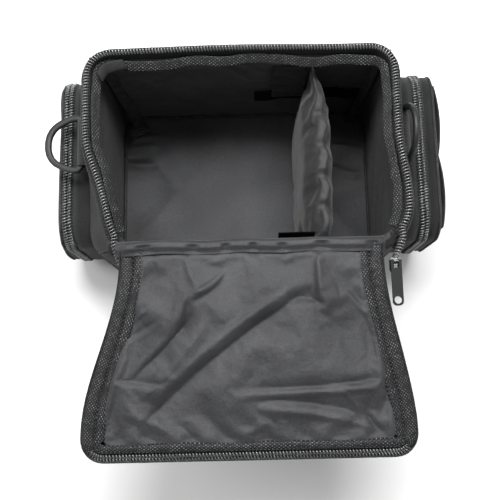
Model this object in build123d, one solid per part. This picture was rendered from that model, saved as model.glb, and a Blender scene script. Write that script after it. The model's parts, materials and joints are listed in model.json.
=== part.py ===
"""Flight bag: a padded soft case with a lid that zips round three sides, a lift-out divider,
two D-rings for a shoulder strap, and zipped pockets on its front and both sides.

Row frame in millimetres: origin at the centre of the base, +X to the right seen from the front,
+Y to the back, +Z up. The bag is drawn with its lid laid open over the front pocket.
"""
import os

from build123d import *

# ---- main compartment -------------------------------------------------------------------------
WIDTH = 300.0
DEPTH = 200.0
CORNER_R = 28.0
WALL_TOP = 166.0
GAP = 0.1                    # between sewn layers
CLEARANCE = 0.3              # between pieces that move past each other

FABRIC = 1.2                 # woven outer cloth with its coating
FOAM = 6.0
LINING = 0.8
BASE_T = 1.5
BOARD_T = 2.5
FLOOR_FOAM_T = 5.0

FOAM_IN = FABRIC + GAP
LINING_IN = FOAM_IN + FOAM + GAP
INSIDE = LINING_IN + LINING
BOARD_Z = BASE_T + GAP
FLOOR_FOAM_Z = BOARD_Z + BOARD_T + GAP
FLOOR_LINING_Z = FLOOR_FOAM_Z + FLOOR_FOAM_T + GAP
FLOOR_TOP = FLOOR_LINING_Z + LINING
FOAM_TOP = WALL_TOP - 3.0
LINING_TOP = WALL_TOP - 1.0

# ---- zip round the rim ------------------------------------------------------------------------
ZIP_FRONT_Y = -84.0          # both halves of the zip end here, near the front corners
TAPE_T = 0.6
TAPE_IN = 5.0
COIL_IN = 3.4
COIL_W = 3.0
RIM_BINDING_IN = 6.6
RIM_BINDING_W = 2.6
RIM_BINDING_H = 5.0
TAB_X = 139.0                # sewn tabs that stop the zip at both front corners
TAB_HALF = 6.0
TAB_T = 3.4
BODY_COIL_Z = 177.3
BODY_COIL_TOP = 180.0
LID_COIL_Z = 180.4
LID_COIL_TOP = 183.2

# ---- lid --------------------------------------------------------------------------------------
HINGE_Y = -95.0
HINGE_Z = 181.0
HINGE_ROOM = 1.5
OPEN_ANGLE = 187.0
LID_EDGE_IN = 1.5
LID_TAPE_Z = LID_COIL_TOP + GAP
LID_TAPE_W = 11.6
LID_BINDING_IN = 12.0
LID_BINDING_W = 7.0
LID_BINDING_Z = 181.9
LID_LINING_Z = 181.8
LID_LINING_TOP = 184.0
LID_FOAM_TOP = 188.7
LID_TOP = 190.0
LID_FRONT_Y = HINGE_Y + HINGE_ROOM
LID_TRIM_Y = LID_FRONT_Y + 2.0
LID_R = CORNER_R - LID_EDGE_IN
LID_NECK = 126.0             # half its width at the hinge, where the cloth is gathered
LID_WAIST = 129.0
LID_WAIST_Y = HINGE_Y + 64.0
LID_FULL_Y = HINGE_Y + 160.0

HANDLE_W = 30.0
HANDLE_T = 2.4
HANDLE_RISE = 12.0
HANDLE_SPAN = 120.0
HANDLE_PATCH = 26.0

# ---- divider ----------------------------------------------------------------------------------
DIVIDER_X = 70.0
DIVIDER_T = 24.0
DIVIDER_HALF = 88.5
DIVIDER_TOP = 151.0
DIVIDER_R = 9.0
COVER_T = 0.8
HOOK_T = 1.2
LOOP_T = 0.7
TAB_W = 27.0

# ---- D-rings ----------------------------------------------------------------------------------
RING_Y = 12.0
RING_Z = 150.0
RING_W = 62.0
RING_DEPTH = 40.0
RING_BAR = 6.0
WEBBING_W = 50.0
WEBBING_T = 1.8
LOOP_HOLE_R = 3.9
LOOP_R = LOOP_HOLE_R + WEBBING_T
RING_X = WIDTH / 2 + CLEARANCE + LOOP_R
LEFT_RING_TILT = 97.0        # from upright, so it lies just below level over its pocket
RIGHT_RING_TILT = 5.0        # from upright, so it stands just clear of the wall

# ---- seams and strips inside ------------------------------------------------------------------
BEAD_R = 1.4
BEAD_ROOM = 0.2
STRIP_X0 = 12.0
BACK_STRIP = dict(end=120.0, low=62.0, high=87.0)
FRONT_STRIP = dict(end=112.0, low=122.0, high=147.0)
HINGE_STRIP_HALF = 122.0
HINGE_STRIP_T = 1.0
BACK_TAB_LOW = 70.0
FRONT_TAB_LOW = 112.0
TAB_TOP = 146.0
TAB_LAP = 8.0                # how far a tab runs across the divider's end

# ---- pockets ----------------------------------------------------------------------------------
POCKET_BOTTOM = 14.0
POCKET_R = 26.0
POCKET_WALL = 1.4
POCKET_BACK = 1.0
GUSSET_U = 20.0
POCKET_TAPE_U = 24.0
POCKET_COIL_U = 26.0
ZIP_SPLIT = 0.4
COVER_TAPE_U = POCKET_COIL_U + ZIP_SPLIT + 2.0
COVER_U = 32.4
POCKET_COIL_RISE = 0.8
POCKET_ZIP_BOTTOM = 30.0
HINGE_PLAY = 1.2
# name, direction it faces (turn about Z), distance of its wall, middle along the wall, length, top, depth
POCKETS = {
    "right": dict(turn=0.0, wall=WIDTH / 2, middle=4.0, length=172.0, top=128.0, depth=46.0, end=1),
    "left": dict(turn=180.0, wall=WIDTH / 2, middle=-4.0, length=172.0, top=128.0, depth=46.0, end=-1),
    "front": dict(turn=-90.0, wall=DEPTH / 2, middle=0.0, length=220.0, top=150.0, depth=50.0, end=1),
}

# ---- sliders and pulls ------------------------------------------------------------------------
SLIDER_L = 14.0
SLIDER_W = 10.0
SLIDER_H = 4.0
LUG_X = 3.0
LUG_H = 6.2
LUG_R = 1.3
LUG_W = 4.0
PULL_T = 2.2
MAIN_SLIDER_X = 134.5        # at the free end of the zip, beside the lid's gathered end
MAIN_SLIDER_Y = -118.0
MAIN_SLIDER_Z = 172.0
POCKET_SLIDER_Z = 52.0


def outline(inset):
    """Plan of the bag, drawn in from its outside."""
    return RectangleRounded(WIDTH - 2 * inset, DEPTH - 2 * inset, CORNER_R - inset)


def slab(sketch, z0, z1):
    return Pos(0, 0, z0) * extrude(sketch, amount=z1 - z0)


def ring(inset_a, inset_b, z0, z1):
    return slab(outline(inset_a) - outline(inset_b), z0, z1)


def lid_outline(inset):
    """Plan of the closed lid: full at its free edge and drawn in towards the hinge."""
    far, near, full = DEPTH / 2 - LID_EDGE_IN, -DEPTH, WIDTH / 2 - LID_EDGE_IN
    side = [(LID_NECK, near), (LID_NECK, HINGE_Y), (LID_WAIST, LID_WAIST_Y), (full, LID_FULL_Y), (full, far)]
    points = side + [(-x, y) for x, y in reversed(side)]
    plan = make_face(Polyline(*points, close=True))
    corners = plan.vertices().group_by(Axis.Y)[-1]
    plan = fillet(corners, LID_R)
    return offset(plan, -inset, kind=Kind.INTERSECTION) if inset else plan


def lid_ring(inset_a, inset_b, z0, z1):
    return slab(lid_outline(inset_a) - lid_outline(inset_b), z0, z1)


def block(x0, x1, y0, y1, z0, z1):
    return Pos((x0 + x1) / 2, (y0 + y1) / 2, (z0 + z1) / 2) * Box(x1 - x0, y1 - y0, z1 - z0)


def behind(solid, y):
    """The part of a solid at and behind y."""
    return solid & block(-WIDTH, WIDTH, y, DEPTH, -10, 260)


def wedge(side):
    """Prism that holds one of the four walls, cut through the corners at 45 degrees."""
    ix, iy = WIDTH / 2 - CORNER_R, DEPTH / 2 - CORNER_R
    ox, oy = WIDTH / 2 + 60, DEPTH / 2 + 60
    corners = {
        "front": [(-ix, -iy), (-ox, -oy), (ox, -oy), (ix, -iy)],
        "back": [(-ix, iy), (ix, iy), (ox, oy), (-ox, oy)],
        "left": [(-ix, -iy), (-ix, iy), (-ox, oy), (-ox, -oy)],
        "right": [(ix, -iy), (ox, -oy), (ox, oy), (ix, iy)],
    }
    return slab(make_face(Polyline(*corners[side], close=True)), -10, 260)


def base_parts():
    return {
        "base_panel": slab(outline(0), 0, BASE_T),
        "base_board": slab(outline(FOAM_IN), BOARD_Z, BOARD_Z + BOARD_T),
        "floor_foam": slab(outline(FOAM_IN), FLOOR_FOAM_Z, FLOOR_FOAM_Z + FLOOR_FOAM_T),
        "floor_lining": slab(outline(INSIDE - LINING), FLOOR_LINING_Z, FLOOR_TOP),
    }


def wall_parts():
    """Outer cloth, foam board and lining of each wall. The boards are flat, between the corners."""
    parts = {}
    hx, hy = WIDTH / 2, DEPTH / 2
    bx, by = hx - CORNER_R, hy - CORNER_R
    low, high = FLOOR_LINING_Z, FOAM_TOP
    boards = {
        "front": block(-bx, bx, -hy + FOAM_IN, -hy + FOAM_IN + FOAM, low, high),
        "back": block(-bx, bx, hy - FOAM_IN - FOAM, hy - FOAM_IN, low, high),
        "left": block(-hx + FOAM_IN, -hx + FOAM_IN + FOAM, -by, by, low, high),
        "right": block(hx - FOAM_IN - FOAM, hx - FOAM_IN, -by, by, low, high),
    }
    cloth = ring(0, FABRIC, BOARD_Z, WALL_TOP)
    inner = ring(LINING_IN, INSIDE, FLOOR_TOP + GAP, LINING_TOP)
    for side in ("front", "back", "left", "right"):
        parts[side + "_panel"] = cloth & wedge(side)
        parts[side + "_foam"] = boards[side]
        parts[side + "_lining"] = inner & wedge(side)
    return parts


def trim_parts():
    """Bound seams, loop strips and the cloth strip that the lid hinges on."""
    hy = DEPTH / 2
    reach = 0.5**0.5 * (CORNER_R - INSIDE) - BEAD_R - BEAD_ROOM
    bead_x = WIDTH / 2 - CORNER_R + reach
    bead_y = hy - CORNER_R + reach
    bead = Cylinder(BEAD_R, LINING_TOP - FLOOR_TOP - 8, align=(Align.CENTER, Align.CENTER, Align.MIN))
    beads = [Pos(s * bead_x, bead_y, FLOOR_TOP + 6) * bead for s in (-1, 1)]
    wall_y = hy - INSIDE
    strip_y = HINGE_Y + 0.5
    return {
        "rim_binding": behind(
            ring(RIM_BINDING_IN, RIM_BINDING_IN + RIM_BINDING_W, WALL_TOP - 0.9, WALL_TOP + RIM_BINDING_H),
            ZIP_FRONT_Y,
        ),
        "floor_binding": ring(INSIDE + GAP, INSIDE + 2.0, FLOOR_TOP + GAP, FLOOR_TOP + 2.4),
        "corner_bindings": Compound(beads),
        "back_loop_strip": block(
            STRIP_X0, BACK_STRIP["end"], wall_y - GAP - LOOP_T, wall_y - GAP,
            BACK_STRIP["low"], BACK_STRIP["high"],
        ),
        "front_loop_strip": block(
            STRIP_X0, FRONT_STRIP["end"], -wall_y + GAP, -wall_y + GAP + LOOP_T,
            FRONT_STRIP["low"], FRONT_STRIP["high"],
        ),
        "hinge_strip": block(
            -HINGE_STRIP_HALF, HINGE_STRIP_HALF, strip_y, strip_y + HINGE_STRIP_T,
            FOAM_TOP + GAP, HINGE_Z - CLEARANCE,
        ),
    }


def body_zip_parts():
    back = ZIP_FRONT_Y - 2.0
    tabs = [
        block(
            s * TAB_X - TAB_HALF, s * TAB_X + TAB_HALF, back - 2 * TAB_HALF, back,
            WALL_TOP + GAP, WALL_TOP + GAP + TAB_T,
        )
        for s in (-1, 1)
    ]
    return {
        "body_zip_tape": behind(
            ring(TAPE_IN, TAPE_IN + TAPE_T, FOAM_TOP + GAP, BODY_COIL_Z - GAP), ZIP_FRONT_Y
        ),
        "body_zip_coil": behind(
            ring(COIL_IN, COIL_IN + COIL_W, BODY_COIL_Z, BODY_COIL_TOP), ZIP_FRONT_Y
        ),
        "zip_end_tabs": Compound(tabs),
    }


def carry_handle():
    """Webbing handle, bowed up from two stitched ends, on top of the closed lid."""
    chord = HANDLE_SPAN / 2
    r = (chord**2 + HANDLE_RISE**2) / (2 * HANDLE_RISE)
    centre_z = LID_TOP + GAP + HANDLE_RISE - r
    band = Plane.XZ * (Circle(r + HANDLE_T) - Circle(r))
    bow = Pos(0, HANDLE_W / 2, centre_z) * extrude(band, amount=HANDLE_W)
    bow &= block(-chord - 2, chord + 2, -HANDLE_W, HANDLE_W, LID_TOP + GAP, LID_TOP + 40)
    ends = [
        block(
            min(s * (chord - 4), s * (chord + HANDLE_PATCH)),
            max(s * (chord - 4), s * (chord + HANDLE_PATCH)),
            -HANDLE_W / 2, HANDLE_W / 2, LID_TOP + GAP, LID_TOP + GAP + HANDLE_T,
        )
        for s in (-1, 1)
    ]
    return bow + ends[0] + ends[1]


def lid_parts():
    """The lid is drawn closed and then turned about its hinge until it lies open."""
    binding = LID_BINDING_IN - LID_EDGE_IN
    lining = binding + LID_BINDING_W + GAP
    coil = COIL_IN - LID_EDGE_IN
    skirt = lid_ring(0, FABRIC, LID_LINING_TOP + GAP, LID_TOP)
    plate = slab(lid_outline(0), LID_FOAM_TOP + GAP, LID_TOP)
    foam = slab(lid_outline(FABRIC + GAP), LID_LINING_TOP + GAP, LID_FOAM_TOP)
    cloth = slab(lid_outline(lining), LID_LINING_Z, LID_LINING_TOP)
    bound = lid_ring(binding, lining - GAP, LID_BINDING_Z, LID_TAPE_Z - GAP)
    tape = lid_ring(coil, coil + LID_TAPE_W, LID_TAPE_Z, LID_TAPE_Z + TAPE_T)
    closed = {
        "lid_panel": behind(plate + skirt, LID_FRONT_Y),
        "lid_foam": behind(foam, LID_FRONT_Y),
        "lid_lining": behind(cloth, LID_FRONT_Y),
        "lid_binding": behind(bound, LID_TRIM_Y),
        "lid_zip_tape": behind(tape, LID_TRIM_Y),
        "lid_zip_coil": behind(lid_ring(coil, coil + COIL_W, LID_COIL_Z, LID_COIL_TOP), ZIP_FRONT_Y),
        "carry_handle": carry_handle(),
    }
    hinge = Axis((0, HINGE_Y, HINGE_Z), (1, 0, 0))
    return {name: solid.rotate(hinge, OPEN_ANGLE) for name, solid in closed.items()}


def divider_parts():
    x0, x1 = DIVIDER_X - DIVIDER_T / 2, DIVIDER_X + DIVIDER_T / 2
    bottom = FLOOR_TOP + CLEARANCE
    half = DIVIDER_HALF

    def pad(shrink, z0):
        body = block(x0 + shrink, x1 - shrink, -half + shrink, half - shrink, z0, DIVIDER_TOP - shrink)
        return fillet(body.edges().filter_by(Axis.Y).group_by(Axis.Z)[-1], DIVIDER_R - shrink)

    tab_y = DEPTH / 2 - INSIDE - GAP - LOOP_T - CLEARANCE
    tab_x0, tab_x1 = x0 - TAB_W, x0 + TAB_LAP
    return {
        "divider_cover": pad(0, bottom) - pad(COVER_T, bottom - 1),
        "divider_foam": pad(COVER_T + GAP, bottom + GAP),
        "divider_back_tab": block(tab_x0, tab_x1, tab_y - HOOK_T, tab_y, BACK_TAB_LOW, TAB_TOP),
        "divider_front_tab": block(tab_x0, tab_x1, -tab_y, -tab_y + HOOK_T, FRONT_TAB_LOW, TAB_TOP),
    }


def d_ring(tilt):
    """A ring for 50 mm webbing: its straight bar lies on Y through the origin, tilt from upright to +X."""
    arm = RING_DEPTH - RING_BAR / 2 - RING_W / 2

    def shape(inset):
        r = RING_W / 2 - inset
        low = RING_BAR / 2 - inset
        return Pos(0, arm) * Circle(r) + Pos(0, (arm - low) / 2) * Rectangle(2 * r, arm + low)

    keep = Pos(0, RING_DEPTH / 2) * Rectangle(2 * RING_W, RING_DEPTH + RING_BAR)
    sketch = (shape(0) & keep) - (shape(RING_BAR) & Pos(0, RING_BAR) * keep)
    flat = extrude(sketch, amount=RING_BAR / 2, both=True)
    flat = fillet(flat.edges().group_by(Axis.Z)[0] + flat.edges().group_by(Axis.Z)[-1], 1.7)
    upright = flat.rotate(Axis.X, 90).rotate(Axis.Z, 90)
    return upright.rotate(Axis.Y, tilt)


def d_ring_parts():
    """Each ring hangs in a loop of webbing sewn to its side wall."""
    strap_x = WIDTH / 2 + GAP
    hole = Plane.XZ * Circle(LOOP_HOLE_R)
    tube = extrude(Plane.XZ * Circle(LOOP_R) - hole, amount=WEBBING_W / 2, both=True)
    cut = extrude(hole, amount=WEBBING_W, both=True)
    strap = block(strap_x, strap_x + WEBBING_T, -WEBBING_W / 2, WEBBING_W / 2, RING_Z - 18, RING_Z)
    loop = Pos(0, RING_Y, 0) * (strap + Pos(RING_X, 0, RING_Z) * tube - Pos(RING_X, 0, RING_Z) * cut)
    return {
        "d_ring_loops": Compound([loop, loop.mirror(Plane.YZ)]),
        "right_d_ring": Pos(RING_X, RING_Y, RING_Z) * d_ring(RIGHT_RING_TILT),
        "left_d_ring": (Pos(RING_X, RING_Y, RING_Z) * d_ring(LEFT_RING_TILT)).mirror(Plane.YZ),
    }


def slider_and_pull(pull_length, pull_width, hole):
    """A zip slider on the plane Z = 0 that travels along +X, with its pull lying back along -X."""
    body = Pos(0, 0, SLIDER_H / 2) * Box(SLIDER_L, SLIDER_W, SLIDER_H)
    body = fillet(body.edges().filter_by(Axis.Z), 3.0)
    body += block(LUG_X - 1, LUG_X + 1, -LUG_W / 2, LUG_W / 2, SLIDER_H - 1, LUG_H)
    body += Pos(LUG_X, 0, LUG_H) * Cylinder(LUG_R, LUG_W, rotation=(90, 0, 0))
    half_t, ear = PULL_T / 2, LUG_W / 2 + CLEARANCE
    far = LUG_X - pull_length
    plate = Pos((far - 3) / 2, 0, LUG_H) * Box(-3 - far, pull_width, PULL_T)
    plate = fillet(plate.edges().filter_by(Axis.Z), 3.6)
    for s in (-1, 1):
        y0, y1 = sorted((s * ear, s * pull_width / 2))
        plate += block(-6, LUG_X + 1.6, y0, y1, LUG_H - half_t, LUG_H + half_t)
    if hole:
        plate -= Pos(far + 5, 0, LUG_H) * Cylinder(hole, PULL_T * 2)
    return body, plate


def main_slider_parts():
    """The slider of the lid's zip stands at its right-hand end and runs back along the side."""
    origin = (MAIN_SLIDER_X, MAIN_SLIDER_Y, MAIN_SLIDER_Z)
    place = Plane(origin=origin, x_dir=(0, 1, 0), z_dir=(0, 0, 1))
    slider, pull = slider_and_pull(40.0, 9.6, 3.4)
    return {"main_slider": place * slider, "main_pull": place * pull}


def webbing_on(face_u, half_length):
    """A strap tacked to a pocket's face in three places, bowed a little between them."""
    rise, chord = 3.4, half_length / 2 - 6
    r = (chord**2 + rise**2) / (2 * rise)
    strap_z0, strap_z1 = 88.0, 113.0
    solid = None
    for s in (-1, 1):
        centre = s * half_length / 2
        band = Circle(r + WEBBING_T) - Circle(r)
        bow = Pos(face_u + GAP + rise - r, centre, strap_z0) * extrude(band, amount=strap_z1 - strap_z0)
        bow &= block(face_u + GAP, face_u + 12, centre - chord - 1, centre + chord + 1, 0, 200)
        solid = bow if solid is None else solid + bow
    for v in (-half_length, 0, half_length):
        solid += block(face_u + GAP, face_u + GAP + WEBBING_T, v - 9, v + 9, strap_z0, strap_z1)
    return solid


def pocket_parts(name, turn, wall, middle, length, top, depth, end):
    """A zipped pocket: a fixed half sewn to the wall and a cover that folds down from its bottom edge.

    Drawn on the wall facing +X, with u = X from the wall and v = Y along it, then turned into place.
    """
    height = top - POCKET_BOTTOM
    mid_z = (top + POCKET_BOTTOM) / 2

    def face(inset):
        return RectangleRounded(length - 2 * inset, height - 2 * inset, POCKET_R - inset)

    def tray(inset_a, inset_b, u0, u1):
        sketch = face(inset_a) if inset_b is None else face(inset_a) - face(inset_b)
        plane = Plane(origin=(u0, 0, mid_z), x_dir=(0, 1, 0), z_dir=(1, 0, 0))
        return extrude(plane * sketch, amount=u1 - u0)

    def arch(solid):
        return solid & block(-5, depth + 5, -length, length, POCKET_ZIP_BOTTOM, top + 5)

    flat = length / 2 - POCKET_R
    z0 = POCKET_BOTTOM
    split = POCKET_COIL_U + ZIP_SPLIT
    gusset = tray(0, None, GAP, POCKET_BACK) + tray(0, POCKET_WALL, GAP, GUSSET_U)
    gusset += block(GUSSET_U - 1, POCKET_COIL_U, -flat, flat, z0, z0 + POCKET_WALL)
    cover = tray(0, None, depth - POCKET_WALL, depth) + tray(0, POCKET_WALL, COVER_U, depth)
    cover += block(split + HINGE_PLAY, COVER_U + 1, -flat, flat, z0, z0 + POCKET_WALL)
    zip_in = [
        arch(tray(0, 0.8, GUSSET_U + GAP, POCKET_TAPE_U)),
        arch(tray(-POCKET_COIL_RISE, 1.4, POCKET_TAPE_U + GAP, POCKET_COIL_U)),
    ]
    zip_out = [
        arch(tray(-POCKET_COIL_RISE, 1.4, split, COVER_TAPE_U)),
        arch(tray(0, 0.8, COVER_TAPE_U + GAP, COVER_U - GAP)),
    ]
    slider, pull = slider_and_pull(26.0, 8.0, 0)
    surface = end * (length / 2 + POCKET_COIL_RISE + 0.4)
    on_zip = Plane(
        origin=(split - ZIP_SPLIT / 2, surface, POCKET_SLIDER_Z), x_dir=(0, 0, 1), z_dir=(0, end, 0)
    )
    made = {
        name + "_pocket_gusset": gusset,
        name + "_pocket_cover": cover,
        name + "_pocket_zip_inner": Compound(zip_in),
        name + "_pocket_zip_outer": Compound(zip_out),
        name + "_pocket_slider": on_zip * slider,
        name + "_pocket_pull": on_zip * pull,
    }
    if name == "right":
        made["right_webbing"] = webbing_on(depth, 66.0)
    place = Rot(0, 0, turn) * Pos(wall, middle, 0)
    return {node: place * solid for node, solid in made.items()}


def main():
    os.makedirs("parts", exist_ok=True)
    parts = {}
    for group in (base_parts, wall_parts, trim_parts, body_zip_parts, lid_parts, divider_parts,
                  d_ring_parts, main_slider_parts):
        parts.update(group())
    for name, sizes in POCKETS.items():
        parts.update(pocket_parts(name, **sizes))
    for node, solid in parts.items():
        solid.label = node
        export_step(solid, os.path.join("parts", node + ".step"))
    print(len(parts), "nodes")


main()
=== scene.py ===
"""Looks of the flight bag: sewn cloth, bound seams, zips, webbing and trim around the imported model.

Shapes are worked out in millimetres in the row frame and written to Blender in metres.
"""
import json
import math

import bmesh
import bpy
import numpy as np
from mathutils import Matrix, Vector


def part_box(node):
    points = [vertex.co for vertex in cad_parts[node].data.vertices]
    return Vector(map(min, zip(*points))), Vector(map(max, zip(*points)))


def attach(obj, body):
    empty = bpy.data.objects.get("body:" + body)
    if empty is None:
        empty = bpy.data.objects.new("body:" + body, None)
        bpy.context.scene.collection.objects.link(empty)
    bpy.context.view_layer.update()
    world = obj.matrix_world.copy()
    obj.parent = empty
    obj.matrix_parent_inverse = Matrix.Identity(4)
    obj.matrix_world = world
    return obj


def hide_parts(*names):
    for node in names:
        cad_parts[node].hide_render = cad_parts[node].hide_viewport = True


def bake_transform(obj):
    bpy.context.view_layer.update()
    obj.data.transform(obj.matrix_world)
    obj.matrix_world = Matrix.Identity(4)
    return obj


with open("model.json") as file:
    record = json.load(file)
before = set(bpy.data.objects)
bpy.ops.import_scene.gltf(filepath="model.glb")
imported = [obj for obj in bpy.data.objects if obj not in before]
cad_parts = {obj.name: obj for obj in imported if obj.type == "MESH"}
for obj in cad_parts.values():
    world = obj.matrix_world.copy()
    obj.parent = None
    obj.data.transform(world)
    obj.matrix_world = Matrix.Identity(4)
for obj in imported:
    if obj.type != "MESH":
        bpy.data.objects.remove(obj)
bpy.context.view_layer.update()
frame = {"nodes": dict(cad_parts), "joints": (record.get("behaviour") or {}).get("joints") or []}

MM = 0.001


def span(node):
    """Lowest and highest corner of a CAD node, in millimetres."""
    low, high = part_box(node)
    return np.array(low) / MM, np.array(high) / MM


def joint(name):
    return next(j for j in frame["joints"] if j["name"] == name)


# ---- sizes of the bag, from the frame where it gives them ----
HALF_W, HALF_D, _ = span("base_panel")[1]
RIM_Z = span("back_panel")[1][2]
FLOOR_Z = span("floor_lining")[1][2]
TAPE_LOW = span("body_zip_tape")[0][2]
COIL_Z = span("body_zip_coil")[0][2]
ZIP_END_Y = span("body_zip_tape")[0][1]
INSIDE = HALF_W + span("floor_lining")[0][0] + 0.8
CORNER_R = 28.0
BASE_SEAM_Z = 5.0
_, HINGE_Y, HINGE_Z = np.array(joint("lid_hinge")["pos_m"]) / MM
OPEN_ANGLE = -joint("lid_hinge")["range_deg"][0]
LID_END = HALF_D - 1.5 - HINGE_Y          # from the hinge to the lid's far edge
LID_BACK = 9.0                            # from the hinge's plane to the lid's outer face
LINING_PLANE = 0.8                        # from the hinge's plane to the lid's lining
DIVIDER_LOW, DIVIDER_HIGH = span("divider_cover")
DIVIDER_X = (DIVIDER_LOW[0] + DIVIDER_HIGH[0]) / 2
RING_PIVOT = {s: np.array(joint(s + "_ring_swing")["pos_m"]) / MM for s in ("left", "right")}

# ---- how far the soft rim leans in and droops at the open front ----
LEFT_LEAN, RIGHT_LEAN = 22.0, 6.0
LEFT_DROOP, RIGHT_DROOP = 9.0, 4.0

# ---- sizes of the sewn details ----
COIL_PITCH = 2.9
COIL_WIRE = 0.75
COIL_IN = 6.0                             # centre of the rim's zip coil, in from the outside
STITCH = 2.4
STITCH_GAP = 1.2
LINING_STEP = 2.6
SIDES = (("left", -1), ("right", 1))
UP = np.array([0.0, 0.0, 1.0])
ALONG_WALL = np.array([0.0, 1.0, 0.0])


# ---- small mathematics ----
def smooth(a, b, t):
    """0 before a, 1 after b, and an even slope between."""
    s = np.clip((np.asarray(t, float) - a) / (b - a), 0, 1)
    return s * s * (3 - 2 * s)


def waves(x, y, size, seed=0.0):
    """Gentle uneven waviness between about -1 and 1."""
    a = np.sin(x / size + 1.7 * seed + 0.6 * np.sin(y / (size * 1.7) + seed))
    b = np.sin(y / (size * 1.3) + 2.9 * seed + 0.8 * np.sin(x / (size * 0.8) + 2 * seed))
    c = np.sin((x + y) / (size * 0.63) + 4.1 * seed)
    return (a + b + 0.5 * c) / 2.5


def fold(x, y, start, end, width, height, bow=0.0):
    """A crease from start to end, tallest in its middle, crisp on one side and soft on the other."""
    start, end = np.array(start, float), np.array(end, float)
    along = end - start
    length = np.hypot(*along)
    along /= length
    t = ((x - start[0]) * along[0] + (y - start[1]) * along[1]) / length
    side = -(x - start[0]) * along[1] + (y - start[1]) * along[0]
    side = side - bow * 4 * t * (1 - t)
    ends = smooth(-0.08, 0.3, t) * smooth(1.08, 0.7, t)
    reach = width * np.where(side > 0, 0.6, 1.3)
    return height * ends * np.exp(-np.abs(side / reach) ** 1.4)


def unit(vectors):
    """The same directions, each with length 1."""
    return vectors / np.linalg.norm(vectors, axis=1)[:, None]


def directions(path, closed=False):
    """The way that a line runs at each of its points."""
    if closed:
        return unit(np.roll(path, -1, axis=0) - np.roll(path, 1, axis=0))
    return unit(np.gradient(path, axis=0))


def grid(rows, cols):
    """Two arrays with one entry for each pair of a row value and a column value."""
    return np.meshgrid(rows, cols, indexing="ij")


def at_height(plan, height):
    """A line's coordinates with one more that is the same for all its points."""
    return np.column_stack([plan, np.full(len(plan), height)])


def resample(points, step, closed=False):
    """The same line with points evenly spaced, about step apart."""
    if closed:
        points = np.vstack([points, points[:1]])
    lengths = np.hypot.reduce(np.diff(points, axis=0), axis=1)
    total = np.concatenate([[0], np.cumsum(lengths)])
    count = max(3, int(round(total[-1] / step)))
    at = np.linspace(0, total[-1], count + 1)
    if closed:
        at = at[:-1]
    return np.column_stack([np.interp(at, total, column) for column in points.T])


def rounded_corners(points, rounds):
    """Cuts every corner of a polygon again and again, which rounds it."""
    points = np.array(points, float)
    for _ in range(rounds):
        following = np.roll(points, -1, axis=0)
        pairs = np.stack([0.75 * points + 0.25 * following, 0.25 * points + 0.75 * following], axis=1)
        points = pairs.reshape(-1, points.shape[1])
    return points


def rounded_loop(half_x, half_y, radius, step=4.0):
    """Rounded rectangle, counterclockwise, that starts at the right-hand end of its low side."""
    points = []
    for quarter in range(4):
        sx, sy = ((1, -1), (1, 1), (-1, 1), (-1, -1))[quarter]
        centre = np.array([sx * (half_x - radius), sy * (half_y - radius)])
        for angle in np.radians(np.linspace(-90, 0, 9) + 90 * quarter):
            points.append(centre + radius * np.array([math.cos(angle), math.sin(angle)]))
    return resample(np.array(points), step, closed=True)


def eased(points, passes=8):
    """Takes the kinks out of an open line and keeps its ends."""
    points = points.copy()
    for _ in range(passes):
        points[1:-1] = (points[:-2] + 2 * points[1:-1] + points[2:]) / 4
    return points


def normals_2d(path, closed=False):
    """Outward direction along a counterclockwise plan line."""
    ahead = directions(path, closed)
    return np.column_stack([ahead[:, 1], -ahead[:, 0]])


def oval(width, height, count=12, square=2.0):
    """Closed section; a larger square makes it more like a flat band with soft edges."""
    a = np.linspace(0, 2 * np.pi, count, endpoint=False)
    c, s = np.cos(a), np.sin(a)
    x = np.sign(c) * np.abs(c) ** (2 / square) * width / 2
    y = np.sign(s) * np.abs(s) ** (2 / square) * height / 2
    return np.column_stack([x, y])


def sagged(points):
    """The shape that the soft body takes: its rim leans and droops near the open front."""
    p = np.array(points, float)
    x, y, z = p[..., 0].copy(), p[..., 1].copy(), p[..., 2].copy()
    high = smooth(128, 174, z)
    left = smooth(-70, -148, x)
    right = smooth(70, 148, x)
    front = smooth(20, -98, y)
    end = smooth(-58, -100, y)
    p[..., 0] += high * left * (LEFT_LEAN * front - 4 * smooth(-40, 10, y))
    p[..., 0] += high * right * (RIGHT_LEAN * smooth(10, -50, y) * (1 - 1.3 * end))
    p[..., 2] -= high * (left * LEFT_DROOP + right * RIGHT_DROOP) * end
    p[..., 2] += high * 1.2 * waves(x, y, 31, 2) * (1 - end)
    p[..., 1] += high * smooth(60, 98, y) * 1.6 * waves(x, z, 40, 1)
    return p


# ---- mesh building ----
def new_piece(name, points, faces, corners, uvs, material):
    """A smooth mesh piece. UVs are real sizes in millimetres, one for each face corner."""
    mesh = bpy.data.meshes.new(name)
    mesh.from_pydata((np.asarray(points) * MM).tolist(), [], faces)
    layer = mesh.uv_layers.new(name="size")
    layer.data.foreach_set("uv", np.asarray(uvs)[np.asarray(corners)].ravel())
    mesh.polygons.foreach_set("use_smooth", [True] * len(mesh.polygons))
    mesh.materials.append(material)
    piece = bpy.data.objects.new(name, mesh)
    bpy.context.scene.collection.objects.link(piece)
    return piece


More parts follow.
